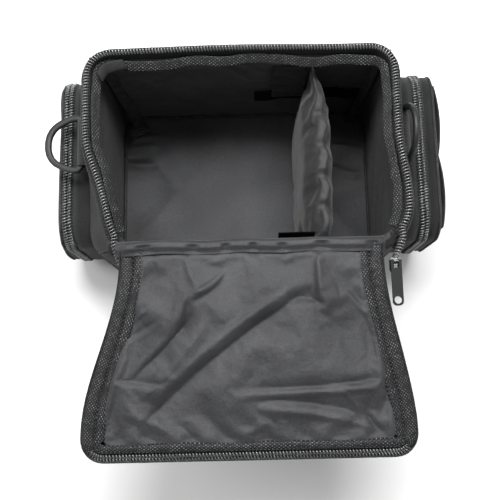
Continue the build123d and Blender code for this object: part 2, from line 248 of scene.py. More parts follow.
def grid_piece(name, points, material, close=False, ring=False, caps=False, thick=0.0):
    """A piece from rows of points. close joins each row's ends, ring joins the last row to the first."""
    points = np.asarray(points, float)
    rows, cols = points.shape[:2]
    wide = np.concatenate([points, points[:, :1]], axis=1) if close else points
    full = np.concatenate([wide, wide[:1]], axis=0) if ring else wide
    across = np.linalg.norm(np.diff(full, axis=1), axis=2).mean(axis=0)
    along = np.linalg.norm(np.diff(full, axis=0), axis=2).mean(axis=1)
    u = np.concatenate([[0], np.cumsum(along)])
    v = np.concatenate([[0], np.cumsum(across)])
    uvs = np.stack(grid(u, v), axis=-1).reshape(-1, 2)
    i, j = grid(np.arange(len(u) - 1), np.arange(len(v) - 1))
    i, j = i.ravel(), j.ravel()
    corner_i = np.stack([i, i, i + 1, i + 1], axis=1)
    corner_j = np.stack([j, j + 1, j + 1, j], axis=1)
    faces = ((corner_i % rows) * cols + corner_j % cols).tolist()
    corners = (corner_i * len(v) + corner_j).ravel().tolist()
    if caps:
        faces.append(list(range(cols)))
        corners += list(range(cols))
        last = (rows - 1) * cols
        faces.append([last + k for k in reversed(range(cols))])
        corners += [(rows - 1) * len(v) + k for k in reversed(range(cols))]
    piece = new_piece(name, points.reshape(-1, 3), faces, corners, uvs, material)
    if thick:
        thicken(piece, thick)
    return piece


def welded(piece):
    """Joins points that lie on each other, as where a pillow's rings meet in the middle."""
    mesh = bmesh.new()
    mesh.from_mesh(piece.data)
    bmesh.ops.remove_doubles(mesh, verts=mesh.verts, dist=0.02 * MM)
    mesh.to_mesh(piece.data)
    mesh.free()
    return piece


def thicken(piece, thick, offset=-1.0):
    layer = piece.modifiers.new("cloth_thickness", "SOLIDIFY")
    layer.thickness = thick * MM
    layer.offset = offset
    return piece


def sweep_points(path, across, up, section):
    """Section points carried along a path, with across and up its two directions at each point."""
    across, up = np.broadcast_to(across, path.shape), np.broadcast_to(up, path.shape)
    side = across[:, None] * section[None, :, 0:1]
    rise = up[:, None] * section[None, :, 1:2]
    return path[:, None] + side + rise


def sweep(name, path, across, up, section, material, ring=False):
    points = sweep_points(path, across, up, section)
    return grid_piece(name, points, material, close=True, ring=ring, caps=not ring)


def tube(name, path, radius, material, closed=False):
    """Round tube along any path in space."""
    ahead = directions(path, closed)
    guide = np.where(np.abs(ahead[:, 2:3]) > 0.9, [[1.0, 0.0, 0.0]], [UP])
    across = unit(np.cross(ahead, guide))
    section = oval(2 * radius, 2 * radius, 8)
    return sweep(name, path, across, np.cross(across, ahead), section, material, ring=closed)


def coil(name, path, across, up, wide, tall, phase=0.0):
    """The wound wire of a zip half: loops across the path, COIL_PITCH apart."""
    steps = 12
    length = np.linalg.norm(np.diff(path, axis=0), axis=1).sum()
    turns = length / COIL_PITCH
    at = np.linspace(0, len(path) - 1, int(turns * steps) + 1)
    known = np.arange(len(path))

    def spread(values):
        values = np.broadcast_to(values, path.shape)
        return np.column_stack([np.interp(at, known, column) for column in values.T])

    angle = np.linspace(0, 2 * np.pi * turns, len(at)) + phase
    wide_now = spread(across) * (wide / 2 * np.cos(angle))[:, None]
    tall_now = spread(up) * (tall / 2 * np.sin(angle))[:, None]
    wire = spread(path) + wide_now + tall_now
    ahead = directions(wire)
    line = spread(np.gradient(path, axis=0))
    side = unit(line - ahead * np.sum(line * ahead, axis=1)[:, None])
    return sweep(name, wire, side, np.cross(side, ahead), oval(2 * COIL_WIRE, 2 * COIL_WIRE, 5), COIL)


def stitches(name, lines, size=0.42):
    """Rows of thread, each line given as points and the direction that stands off the cloth."""
    points, faces = [], []
    for path, up in lines:
        path = np.asarray(path, float)
        even = resample(np.hstack([path, np.broadcast_to(up, path.shape)]), STITCH + STITCH_GAP)
        spots, stands = even[:, :3], even[:, 3:]
        for here, there, stand in zip(spots[:-1], spots[1:], stands[:-1]):
            along = (there - here) * STITCH / (STITCH + STITCH_GAP)
            side = np.cross(along, stand)
            side *= size / max(np.linalg.norm(side), 1e-9)
            middle = here + along / 2
            first = len(points)
            points += [here, here + along, middle + side, middle - side,
                       middle + stand * size, middle - stand * size]
            for a, b in ((2, 4), (4, 3), (3, 5), (5, 2)):
                faces += [[first, first + a, first + b], [first + 1, first + b, first + a]]
    corners = [k for face in faces for k in face]
    uvs = np.asarray(points)[:, :2]
    return new_piece(name, points, faces, corners, uvs, THREAD)


def pillow_points(outline, share, heights, insets, pull, bulge, centre_y=0.0):
    """Rings that go from an outline inwards to a centre line, for a face that is rounded at its edge.

    share is the centre line's part of the outline's length. heights and insets are the section at
    the edge; the rest swells by bulge towards the centre.
    """
    centre = at_height(outline[:, :1] * share, centre_y)
    inward = -normals_2d(outline, closed=True)
    rings = [at_height(outline + inward * i, h) for i, h in zip(insets, heights)]
    edge = rings[-1]
    count = max(6, int(pull / 6))
    for k in range(1, count + 1):
        t = k / count
        flat = edge[:, :2] * (1 - t) + centre * t
        height = heights[-1] + bulge * math.sin(t * math.pi / 2)
        rings.append(at_height(flat, height))
    return np.stack(rings)


def place(piece, body, slot, *nodes):
    """Puts a finished piece on its body and hides the CAD nodes that it stands for; slot is not used."""
    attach(piece, body)
    if nodes:
        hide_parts(*nodes)
    return piece


def read_points(piece):
    flat = np.zeros(len(piece.data.vertices) * 3, np.float32)
    piece.data.vertices.foreach_get("co", flat)
    return flat.reshape(-1, 3).astype(float)


def settle(piece, held, pressure, growth, cap, frames=20):
    """Cloth simulation with the held points pinned; no point may end further than cap mm from its start."""
    start = read_points(piece)
    pinned = piece.vertex_groups.new(name="pinned")
    pinned.add([int(k) for k in held], 1.0, "REPLACE")
    cloth = piece.modifiers.new("cloth", "CLOTH")
    settings = cloth.settings
    settings.quality = 6
    settings.mass = 0.12
    settings.tension_stiffness = 20
    settings.compression_stiffness = 20
    settings.bending_stiffness = 0.35
    settings.vertex_group_mass = "pinned"
    settings.shrink_min = -growth
    settings.shrink_max = -growth
    settings.use_pressure = True
    settings.uniform_pressure_force = pressure
    settings.effector_weights.gravity = 0
    scene = bpy.context.scene
    for number in range(1, frames + 1):
        scene.frame_set(number)
    settled = piece.evaluated_get(bpy.context.evaluated_depsgraph_get())
    end = read_points(settled)
    piece.modifiers.remove(cloth)
    scene.frame_set(1)
    shift = end - start
    distance = np.maximum(np.linalg.norm(shift, axis=1), 1e-9)
    shift *= np.minimum(1, cap * MM / distance)[:, None]
    piece.data.vertices.foreach_set("co", (start + shift).ravel())
    piece.data.update()
    return piece


def subdivide(piece):
    layer = piece.modifiers.new("smooth", "SUBSURF")
    layer.levels = 1
    layer.render_levels = 1


# ---- materials ----
class Surface:
    """Short names for the nodes of one material."""

    def __init__(self, name, roughness, sheen=0.0, specular=0.4, metallic=0.0, coat=0.0):
        self.material = bpy.data.materials.new(name)
        self.material.use_nodes = True
        self.tree = self.material.node_tree
        self.shader = self.tree.nodes["Principled BSDF"]
        self.shader.inputs["Roughness"].default_value = roughness
        self.shader.inputs["Sheen Weight"].default_value = sheen
        self.shader.inputs["Sheen Roughness"].default_value = 0.45
        self.shader.inputs["Specular IOR Level"].default_value = specular
        self.shader.inputs["Metallic"].default_value = metallic
        self.shader.inputs["Coat Weight"].default_value = coat
        self.spot = self.tree.nodes.new("ShaderNodeTexCoord")
        split = self.tree.nodes.new("ShaderNodeSeparateXYZ")
        self.tree.links.new(self.spot.outputs["UV"], split.inputs[0])
        self.u, self.v = split.outputs[0], split.outputs[1]

    def math(self, operation, a, b=0.0):
        node = self.tree.nodes.new("ShaderNodeMath")
        node.operation = operation
        for socket, value in zip(node.inputs, (a, b)):
            if isinstance(value, (int, float)):
                socket.default_value = value
            else:
                self.tree.links.new(value, socket)
        return node.outputs[0]

    def add(self, a, b):
        return self.math("ADD", a, b)

    def times(self, a, b):
        return self.math("MULTIPLY", a, b)

    def wave(self, along, period, phase=0.0):
        """A sine along u or v that repeats every period millimetres."""
        return self.math("SINE", self.add(self.times(along, 2 * math.pi / period), phase))

    def noise(self, size, detail=2.0):
        """Noise between 0 and 1 whose lumps are about size millimetres across."""
        node = self.tree.nodes.new("ShaderNodeTexNoise")
        node.inputs["Scale"].default_value = 1 / (size * MM)
        node.inputs["Detail"].default_value = detail
        self.tree.links.new(self.spot.outputs["Object"], node.inputs["Vector"])
        return node.outputs[0]

    def grain(self, size, depth):
        """Fine noise, centred on zero."""
        return self.times(self.math("SUBTRACT", self.noise(size, 2), 0.5), depth)

    def spread(self, value, **ends):
        """Stretches one range of a value to another; an end that isn't given is 0 or 1."""
        node = self.tree.nodes.new("ShaderNodeMapRange")
        for end, number in ends.items():
            node.inputs[end.replace("_", " ").title()].default_value = number
        self.tree.links.new(value, node.inputs["Value"])
        return node.outputs[0]

    def ramp(self, value, low, high):
        return self.spread(value, from_min=low, from_max=high)

    def colour(self, factor, dark, light):
        node = self.tree.nodes.new("ShaderNodeMix")
        node.data_type = "RGBA"
        node.inputs[6].default_value = (*dark, 1)
        node.inputs[7].default_value = (*light, 1)
        self.tree.links.new(factor, node.inputs[0])
        self.tree.links.new(node.outputs[2], self.shader.inputs["Base Color"])

    def bump(self, height, depth):
        node = self.tree.nodes.new("ShaderNodeBump")
        node.inputs["Distance"].default_value = depth * MM
        self.tree.links.new(height, node.inputs["Height"])
        self.tree.links.new(node.outputs[0], self.shader.inputs["Normal"])

    def rough(self, value, low, high):
        self.tree.links.new(self.spread(value, to_min=low, to_max=high), self.shader.inputs["Roughness"])


def grey(value, blue=1.04):
    return (value * 0.98, value, value * blue)


def woven(name, dark, light, thread, depth, roughness, sheen):
    """Plain weave: warp and weft threads that cross, fibre between them, and faint mottling."""
    s = Surface(name, roughness, sheen, 0.18)
    cross = s.times(s.wave(s.u, thread * 2), s.wave(s.v, thread * 2))
    fibre = s.noise(0.5, 3)
    height = s.add(cross, s.times(fibre, 0.9))
    s.bump(height, depth)
    mottle = s.add(s.times(s.noise(28, 3), 0.7), s.grain(1.8, 0.6))
    s.colour(s.ramp(s.add(mottle, s.times(height, 0.16)), 0.2, 0.75), grey(dark), grey(light))
    s.rough(fibre, roughness - 0.08, roughness + 0.08)
    return s.material


def dotted_tape(name, dark, light, period):
    """Binding tape: raised light threads in a staggered lattice on a dark ground."""
    s = Surface(name, 0.62, 0.03, 0.2)
    lattice = s.times(s.wave(s.u, period * 1.4, 1.2), s.wave(s.v, period, 0.7))
    dots = s.ramp(lattice, 0.25, 0.85)
    fibre = s.noise(0.6, 3)
    patchy = s.times(s.ramp(s.noise(9, 2), 0.25, 0.6), s.ramp(s.noise(1.7, 2), 0.35, 0.6))
    s.bump(s.add(dots, s.times(fibre, 0.35)), 0.45)
    s.colour(s.times(s.times(dots, fibre), patchy), grey(dark), grey(light))
    return s.material


def ribbed_web(name, dark, light, rib):
    """Webbing: ribs that run along it, crossed by fine picks."""
    s = Surface(name, 0.6, 0.05, 0.4)
    ribs = s.wave(s.v, rib)
    picks = s.wave(s.u, rib * 0.55)
    height = s.add(s.times(ribs, s.add(picks, 1.6)), s.noise(0.5, 3))
    s.bump(height, 0.3)
    s.colour(s.ramp(s.add(height, s.noise(18, 2)), -0.6, 3.2), grey(dark), grey(light))
    return s.material


def pile(name, dark, light):
    """Hook and loop tape: a matted surface of fine loops."""
    s = Surface(name, 0.9, 0.0, 0.1)
    loops = s.noise(1.1, 5)
    s.bump(s.add(loops, s.times(s.noise(0.4, 2), 0.5)), 1.2)
    s.colour(s.ramp(loops, 0.45, 0.8), grey(dark), grey(light))
    return s.material


def moulded(name, dark, light, roughness, grain, depth, specular=0.5, metallic=0.0, coat=0.0):
    """Moulded, painted or cast surface with a fine grain, scuffs and slight shade changes."""
    s = Surface(name, roughness, 0.0, specular, metallic, coat)
    speckle = s.noise(grain, 3)
    scuffs = s.ramp(s.noise(7, 4), 0.52, 0.7)
    s.bump(s.add(speckle, s.times(scuffs, 0.3)), depth)
    s.colour(s.add(s.times(speckle, 0.5), s.times(scuffs, 0.5)), grey(dark), grey(light))
    s.rough(scuffs, roughness - 0.07, roughness + 0.12)
    return s.material


def lining_nylon(name, dark, light, sheen):
    """Coated lining: very fine weave with a soft sheen and small crushed creases."""
    s = Surface(name, 0.48, sheen, 0.28)
    cross = s.times(s.wave(s.u, 1.1), s.wave(s.v, 1.1))
    crush = s.noise(11, 4)
    s.bump(s.add(s.times(cross, 0.10), s.times(crush, 1.5)), 0.7)
    shade = s.add(s.times(s.noise(45, 3), 0.8), s.grain(1.5, 0.7))
    s.colour(s.ramp(shade, 0.25, 0.6), grey(dark, 1.10), grey(light, 1.10))
    s.rough(crush, 0.4, 0.56)
    return s.material


OUTER = woven("outer_cloth", 0.004, 0.017, 0.75, 0.28, 0.70, 0.06)
LINING = lining_nylon("lining_cloth", 0.0095, 0.0235, 0.10)
# painted shade: the divider's cover is the lining cloth made darker, standing in for the shade on its faces
PAINTED_SHADE_DIVIDER_LINING = lining_nylon("divider_painted_shade_cloth", 0.005, 0.014, 0.12)
# painted shade: a darker copy of the lining cloth that stands in for the shade on the side and front walls
# and on the divider's back tab
PAINTED_SHADE_LINING = lining_nylon("shaded_lining_cloth", 0.006, 0.015, 0.05)
BINDING = dotted_tape("binding_tape", 0.004, 0.30, 2.3)
COARSE_BINDING = dotted_tape("rim_binding_tape", 0.004, 0.32, 2.8)
TAPE = woven("zip_tape", 0.004, 0.012, 0.6, 0.12, 0.7, 0.05)
COIL = moulded("zip_coil_nylon", 0.020, 0.09, 0.22, 0.8, 0.05, 0.9)
WEB = ribbed_web("webbing", 0.006, 0.022, 1.6)
HOOK = pile("hook_and_loop", 0.0012, 0.005)
PLASTIC = moulded("ring_plastic", 0.005, 0.014, 0.55, 0.7, 0.10, 0.25)
METAL = moulded("slider_metal", 0.04, 0.14, 0.30, 0.5, 0.04, metallic=1.0)
RUBBER = moulded("pull_rubber", 0.006, 0.016, 0.70, 0.6, 0.12, 0.12)
BOARD = moulded("base_board", 0.02, 0.04, 0.6, 1.2, 0.1)
THREAD = woven("thread", 0.02, 0.06, 0.3, 0.05, 0.6, 0.1)


# ---- camera, floor and light ----
def make_camera():
    """Looks steeply down into the open bag from just beyond the hinge."""
    aim = np.array([3.4, -87.8, 100.0])
    away, elevation, turn, roll = 711.7, math.radians(79.9), math.radians(0.18), math.radians(-1.5)
    back = Vector((math.sin(turn) * math.cos(elevation), -math.cos(turn) * math.cos(elevation),
                   math.sin(elevation)))
    right = (-back).cross(Vector((0, 0, 1))).normalized()
    top = right.cross(-back)
    across = math.cos(roll) * right + math.sin(roll) * top
    upward = -math.sin(roll) * right + math.cos(roll) * top
    data = bpy.data.cameras.new("camera")
    data.lens = 50.4
    data.sensor_width = 36
    camera = bpy.data.objects.new("camera", data)
    bpy.context.scene.collection.objects.link(camera)
    turned = Matrix((across, upward, back)).transposed()
    camera.matrix_world = Matrix.Translation(Vector(aim * MM) + back * away * MM) @ turned.to_4x4()
    bpy.context.scene.camera = camera


def area_light(name, where, at, size, watts):
    data = bpy.data.lights.new(name, "AREA")
    data.shape = "RECTANGLE"
    data.size, data.size_y = size
    data.energy = watts
    lamp = bpy.data.objects.new(name, data)
    lamp.location = where
    lamp.rotation_euler = (Vector(at) - Vector(where)).to_track_quat("-Z", "Y").to_euler()
    bpy.context.scene.collection.objects.link(lamp)


def make_studio():
    mesh = bpy.data.meshes.new("floor")
    reach = 6.0
    corners = [(x * reach, y * reach, 0) for x, y in ((-1, -1), (1, -1), (1, 1), (-1, 1))]
    mesh.from_pydata(corners, [], [(0, 1, 2, 3)])
    floor = bpy.data.objects.new("floor", mesh)
    bpy.context.scene.collection.objects.link(floor)
    s = Surface("pale_floor", 0.9, 0.0, 0.1)
    s.colour(s.noise(300, 2), (0.58, 0.58, 0.58), (0.60, 0.60, 0.60))
    mesh.materials.append(s.material)
    area_light("overhead", (0.05, 0.48, 1.45), (0, -0.1, 0.1), (1.3, 0.5), 58)
    area_light("left_key", (-1.1, 0.1, 1.15), (0, -0.1, 0.1), (0.5, 0.8), 12)
    area_light("right_fill", (1.5, -0.4, 0.9), (0, 0, 0.1), (0.8, 0.8), 5)
    world = bpy.data.worlds.new("world")
    world.use_nodes = True
    colour, strength = world.node_tree.nodes["Background"].inputs[:2]
    colour.default_value = (1, 1, 1, 1)
    strength.default_value = 0.6
    bpy.context.scene.world = world
    bpy.context.scene.view_settings.view_transform = "Standard"


make_camera()
make_studio()


# ---- body ----
def walls(step):
    """Each wall's name, plan line, outward way, share of its length and distance along it.

    The walls meet at 45 degrees through the corners.
    """
    loop = rounded_loop(HALF_W, HALF_D, CORNER_R, step)
    out = normals_2d(loop, closed=True)
    over_x = np.abs(loop[:, 0]) - (HALF_W - CORNER_R)
    over_y = np.abs(loop[:, 1]) - (HALF_D - CORNER_R)
    side = np.where(over_x > over_y, np.where(loop[:, 0] > 0, "right", "left"),
                    np.where(loop[:, 1] > 0, "back", "front"))
    for name in ("front", "back", "left", "right"):
        mine = side == name
        first = int(np.argmax(mine & ~np.roll(mine, 1)))
        index = (first + np.arange(mine.sum() + 1)) % len(loop)
        plan, normal = loop[index], out[index]
        share = np.linspace(0, 1, len(index))[:, None]
        yield name, plan, normal, share, plan[:, :1] * normal[:, 1:2] - plan[:, 1:2] * normal[:, :1]


def outer_walls():
    """Outer cloth of each wall: it bellies a little and turns in over the rim to the zip."""
    heights = np.concatenate([np.linspace(0.8, RIM_Z - 6, 40), RIM_Z - 4 + np.linspace(0, 1, 8) * 14.5])
    z = heights[None, :]
    turn_in = smooth(RIM_Z - 2, RIM_Z + 11, z) * 4.6
    for name, plan, normal, share, along in walls(4.0):
        belly = 1.2 + 1.6 * np.sin(np.pi * share) * np.sin(np.pi * z / RIM_Z)
        belly = belly + 0.7 * waves(along, z, 19, len(name)) * np.sin(np.pi * z / (RIM_Z + 12))
        reach = belly - turn_in
        top = smooth(RIM_Z + 4, RIM_Z + 11, z) * (ZIP_END_Y - 8 < plan[:, 1:2])
        xy = plan[:, None] + normal[:, None] * reach[..., None]
        rise = np.broadcast_to(z, xy.shape[:2]) - (1 - top) * smooth(RIM_Z, RIM_Z + 11, z) * 9
        points = sagged(np.concatenate([xy, rise[..., None]], axis=2))
        piece = grid_piece(name + "_wall_cloth", points, OUTER, thick=1.0)
        place(piece, "bag", "outer_cloth", name + "_panel")


def wall_pads():
    """Lining over foam, one pad to a wall: soft, dented, and pinched thin at its seams."""
    climb = np.linspace(0, 1, 46)
    low, high = FLOOR_Z + 0.2, RIM_Z - 3.0
    z = (low + (high - low) * climb)[None, :]
    for name, plan, normal, share, along in walls(3.5):
        edge = (np.sin(np.pi * share) ** 0.5) * np.sin(np.pi * climb) ** 0.6
        dents = 0.9 * waves(along, z, 24, 3 + len(name)) + 0.5 * waves(along, z, 11, len(name))
        x = plan[:, :1]
        if name == "back":
            for crease in BACK_FOLDS:
                dents = dents + fold(x, z, *crease) * smooth(32, 18, x)
        near_divider = np.exp(-((x - DIVIDER_X) / 22) ** 2) * (name in ("front", "back"))
        puff = edge * (1.2 + dents) * (1 - near_divider)
        inner = INSIDE + np.minimum(puff, 6.5) + 3.5 * smooth(0.82, 1.0, climb)[None, :]
        inner_xy = plan[:, None] - normal[:, None] * inner[..., None]
        face = np.concatenate([inner_xy, np.broadcast_to(z, inner.shape)[..., None]], axis=2)
        back_xy = plan - normal * 2.0
        back = np.stack([at_height(back_xy, h) for h in (high, low)], axis=1)
        points = sagged(np.concatenate([face, back], axis=1))
        # painted shade: the back wall keeps the plain lining; the other walls get its darker copy for the
        # shade they lie in
        shade = LINING if name == "back" else PAINTED_SHADE_LINING
        piece = grid_piece(name + "_wall_pad", points, shade, close=True, caps=True)
        place(piece, "bag", "lining_cloth", name + "_lining", name + "_foam")


# start, end (across, up), width, height and bow of the creases in the back wall's lining
BACK_FOLDS = [
    ((-20, 150), (8, 110), 5, 2.6, 3),
    ((0, 156), (24, 132), 4, 2.4, -2),
    ((18, 160), (30, 60), 7, 3.0, 6),
    ((34, 158), (40, 90), 5, -2.6, 0),
    ((-60, 160), (-40, 150), 6, 1.8, 0),
    ((-110, 120), (-90, 60), 9, -2.0, 4),
]

# start, end (across, back), width, height and bow of the creases in the floor
FLOOR_FOLDS = [
    ((-142, 62), (-96, 66), 3.5, 3.4, 2),
    ((-142, 50), (-100, 54), 4.5, 4.2, 2),
    ((-142, 36), (-98, 32), 5.0, 3.4, -2),
    ((-140, 20), (-70, 48), 11, 1.8, 5),
    ((-130, -40), (-40, 20), 16, 1.4, 8),
    ((90, 52), (138, 44), 5, 2.6, 2),
    ((90, 30), (138, 14), 7, 3.0, -3),
    ((88, -10), (138, -6), 9, 2.0, 3),
]


def middle_line(ring):
    """Sorted position and height along a ring that has closed to a line."""
    order = np.argsort(ring[:, 0])
    return ring[order, 0], ring[order, 2]


def floor_pad():
    """The padded floor with its lining, wrinkled where it is gathered into the wall seams."""
    half_x, half_y = HALF_W - INSIDE + 0.6, HALF_D - INSIDE + 0.6
    outline = rounded_loop(half_x, half_y, CORNER_R - INSIDE, step=3.0)
    underside = BASE_SEAM_Z - FLOOR_Z
    points = pillow_points(outline, 0.55, [underside, -0.6, 0.0], [0.2, 0.2, 1.4], 210, 0.0)
    x, y = points[..., 0], points[..., 1]
    clear = 1 - smooth(34, 22, np.abs(x - DIVIDER_X))
    relief = 0.5 + 0.9 * waves(x, y, 33, 2)
    for crease in FLOOR_FOLDS:
        relief = relief + fold(x, y, *crease)
    raised = np.maximum(relief, 0) * clear * (np.arange(len(points)) > 2)[:, None]
    points[..., 2] += FLOOR_Z + raised
    points[-1, :, 2] = np.interp(points[-1, :, 0], *middle_line(points[-1]))
    piece = welded(grid_piece("floor_pad", points, LINING, close=True))
    place(piece, "bag", "lining_cloth", "floor_lining", "floor_foam")


def base_cloth():
    """Underside of the bag, turned up at its edge into the walls' bottom seam."""
    outline = rounded_loop(HALF_W + 0.6, HALF_D + 0.6, CORNER_R)
    points = pillow_points(outline, 0.5, [-BASE_SEAM_Z, -1.2, 0.0], [0.0, 0.2, 2.2], 200, 0.0)
    points[..., 2] = -points[..., 2] + 0.1
    piece = grid_piece("base_cloth", points, OUTER, close=True)
    place(piece, "bag", "outer_cloth", "base_panel")


def seam_piping():
    """Corded seams round the base and up the four corners."""
    outline = rounded_loop(HALF_W + 1.4, HALF_D + 1.4, CORNER_R + 1)
    place(tube("base_piping", at_height(outline, BASE_SEAM_Z), 1.5, BINDING, closed=True), "bag", "binding")
    reach = CORNER_R * (1 - math.sqrt(0.5)) - 1.6
    z = np.linspace(4, RIM_Z + 1, 40)
    for side, sx in SIDES:
        for end, sy in (("front", -1), ("back", 1)):
            x, y = sx * (HALF_W - reach), sy * (HALF_D - reach)
            path = sagged(np.column_stack([np.full(40, x), np.full(40, y), z]))
            place(tube(f"corner_piping_{side}_{end}", path, 1.3, OUTER), "bag", "binding")


# the body zip's free ends: x, y and drop; the right one runs to the parked slider
RIGHT_ZIP_END = [(134.6, -112.5, 1.5), (136.4, -107, 1.8), (140, -99.5, 2.4), (143.4, -91.5, 2.6)]
LEFT_ZIP_END = [(-121.2, -92, 7), (-118.6, -100, 8), (-116.4, -106.5, 9), (-115.2, -111, 11)]


def rim_line(inset, height, step=2.5, ends=False):
    """Points along the body's zip, in from its outside, with the direction away from the bag."""
    loop = rounded_loop(HALF_W - COIL_IN, HALF_D - COIL_IN, CORNER_R - COIL_IN, step)
    plan = loop[loop[:, 1] >= ZIP_END_Y]
    path = sagged(at_height(plan, height))
    if ends:
        right, left = np.array(RIGHT_ZIP_END), np.array(LEFT_ZIP_END)
        right[:, 2] = height - right[:, 2]
        left[:, 2] = height - left[:, 2]
        path = eased(resample(np.vstack([right, path, left]), step))
    away = np.column_stack([normals_2d(path[:, :2]), np.zeros(len(path))])
    return path - away * (inset - COIL_IN), away


def rim_pieces():
    """The body half of the lid's zip: standing tape, coil, and the dotted binding inside it."""
    path, away = rim_line(COIL_IN + 1.2, (TAPE_LOW + COIL_Z) / 2, ends=True)
    band = oval(0.9, COIL_Z - TAPE_LOW + 1, 14, 5)
    place(sweep("rim_zip_tape", path, away, UP, band, TAPE), "bag", "zip_tape", "body_zip_tape")
    path, away = rim_line(COIL_IN, COIL_Z - 0.2, 1.25, ends=True)
    coil_tilt = math.radians(22)
    lean = away * math.cos(coil_tilt) + UP * math.sin(coil_tilt)
    stand = unit(np.cross(np.gradient(path, axis=0), lean))
    place(coil("rim_zip_coil", path, lean, stand, 5.4, 2.6), "bag", "zip_coil", "body_zip_coil")
    path, away = rim_line(COIL_IN + 7.2, RIM_Z + 1.0)
    along = np.arange(len(path)) * 2.5
    back = smooth(70, 90, path[:, 1])
    wander = (1.1 + 1.6 * back) * np.sin(along / 17) * np.sin(along / 41 + 1) + 0.5 * np.sin(along / 7.3)
    path -= away * (wander + 1.5 * back)[:, None]
    path[:, 2] += 0.8 * np.sin(along / 23)
    tilt = math.radians(38)
    lean = away * math.cos(tilt) + UP * math.sin(tilt)
    stand = -away * math.sin(tilt) + UP * math.cos(tilt)
    bound = sweep("rim_binding_tape", path, lean, stand, oval(9.5, 1.9, 20, 2.8), COARSE_BINDING)
    place(bound, "bag", "binding", "rim_binding")
    rows = []
    for inset, height in ((-2.0, RIM_Z - 5), (0.4, RIM_Z + 3.4)):
        path, away = rim_line(inset, height)
        rows.append((path, away + UP * 0.6))
    place(stitches("rim_stitching", rows), "bag", "binding")


def zip_wraps():
    """Cloth folded round each end of the rim, where the zip leaves the body at the front corners."""
    t = np.linspace(0, 1, 14)
    up = np.array([0.0, 0.2, 1.0])
    section = oval(15, 4.2, 20, 2.6)
    corners = ((-122.0, -86.0, 163.0), (140.0, -88.0, 160.0))
    for (side, sx), corner, nodes in zip(SIDES, corners, (["zip_end_tabs"], [])):
        x = corner[0] + sx * (5 * t - 7 * t * t)
        y = corner[1] - 11 * t
        z = corner[2] + 3.5 * np.sin(t * np.pi * 0.8) - 5 * t
        across = np.array([0.85, -0.5 * sx, 0.0])
        piece = sweep(side + "_zip_wrap", np.column_stack([x, y, z]), across, up, section, OUTER)
        place(piece, "bag", "outer_cloth", *nodes)


def floor_seam():
    """Bound seam round the floor."""
    inset = INSIDE + 2.0
    loop = rounded_loop(HALF_W - inset, HALF_D - inset, CORNER_R - inset, 2.5)
    away = np.column_stack([normals_2d(loop, closed=True), np.zeros(len(loop))])
    path = at_height(loop, FLOOR_Z + 1.7)
    clear = smooth(12, 24, np.abs(loop[:, 0] - DIVIDER_X))
    path[:, 2] += 0.8 * np.sin(loop[:, 0] / 9) * clear
    path -= away * (0.8 * np.sin(loop[:, 0] / 13 + 1) * clear)[:, None]
    piece = sweep("floor_binding_tape", path, away, UP, oval(3.4, 2.6, 12, 2.4), BINDING, ring=True)
    place(piece, "bag", "binding", "floor_binding")


def corner_ribbons():
    """Ribbons that cover the upright seams at the back, wider towards the floor."""
    t = np.linspace(0, 1, 40)
    section = oval(1.0, 1.0, 14, 3)
    for (side, sx), wide, nodes in zip(SIDES, (10.0, 6.5), (["corner_bindings"], [])):
        x = sx * (HALF_W - 19 - 6 * t + 2 * np.sin(t * 5))
        y = HALF_D - 18 + 3 * np.sin(t * 4) - 2 * t
        path = sagged(np.column_stack([x, y, RIM_Z - 4 - (RIM_Z - 20) * t]))
        across = np.array([sx * 0.8, -0.6, 0.0]) * (wide + 3 * t)[:, None]
        out = np.array([-sx * 0.6, -0.8, 0.0]) * 1.8
        ribbon = sweep(side + "_corner_ribbon", path, across, out, section, BINDING)
        place(ribbon, "bag", "binding", *nodes)


def corner_folds():
    """Rolled cloth where the bindings meet at the back left, and the folded tab at the ribbon's foot."""
    across = np.array([0.45, -0.9, 0.0])
    roll = [(-137.0, 72, 168), (-132, 79, 171), (-122, 82, 170), (-113, 85, 168)]
    tab = [(-137.0, 58, 14), (-133, 67, 19), (-123, 72, 19), (-113, 79, 15)]
    for name, route, section, cloth in (("rim_corner_roll", roll, oval(11, 8, 20, 2.3), OUTER),
                                        ("floor_corner_tab", tab, oval(14, 2.6, 22, 3), BINDING)):
        path = eased(resample(np.array(route), 1.5))
        place(sweep(name, path, across, UP, section, cloth), "bag", "binding")


def loop_strips():
    """Loop tape that the divider's tabs hold on to, on the back and front walls."""
    for name, facing in (("back_loop_strip", -1), ("front_loop_strip", 1)):
        low, high = span(name)
        overrun = 12 if facing < 0 else 0
        x, z = grid(np.linspace(low[0], high[0] + overrun, 40), np.linspace(low[2], high[2], 10))
        y = (low[1] if facing < 0 else high[1]) + facing * 0.5 * (1 + waves(x, z, 9, 1)) * 0.5
        y = y + facing * 2.4 * smooth(30, 44, np.abs(x - DIVIDER_X)) * (facing < 0)
        bend = smooth(high[0] + 2, high[0] + 12, x) * 5
        points = sagged(np.stack([x, y - bend, z], axis=-1))
        place(grid_piece(name + "_pile", points, HOOK, thick=0.7), "bag", "hook_loop", name)


for make in (outer_walls, wall_pads, floor_pad, base_cloth, seam_piping, rim_pieces, zip_wraps, floor_seam,
             corner_ribbons, corner_folds, loop_strips):
    make()


# ---- lid ----
LID_R = 20.0                              # radius of its far corners
LID_NECK = 119.0                          # half its width at the hinge
LID_SPREAD = 31.0                         # how much wider each half is at the far end
SIDE_BAND = 21.0
END_BAND = 15.5
SHELL_STEP = 4.0


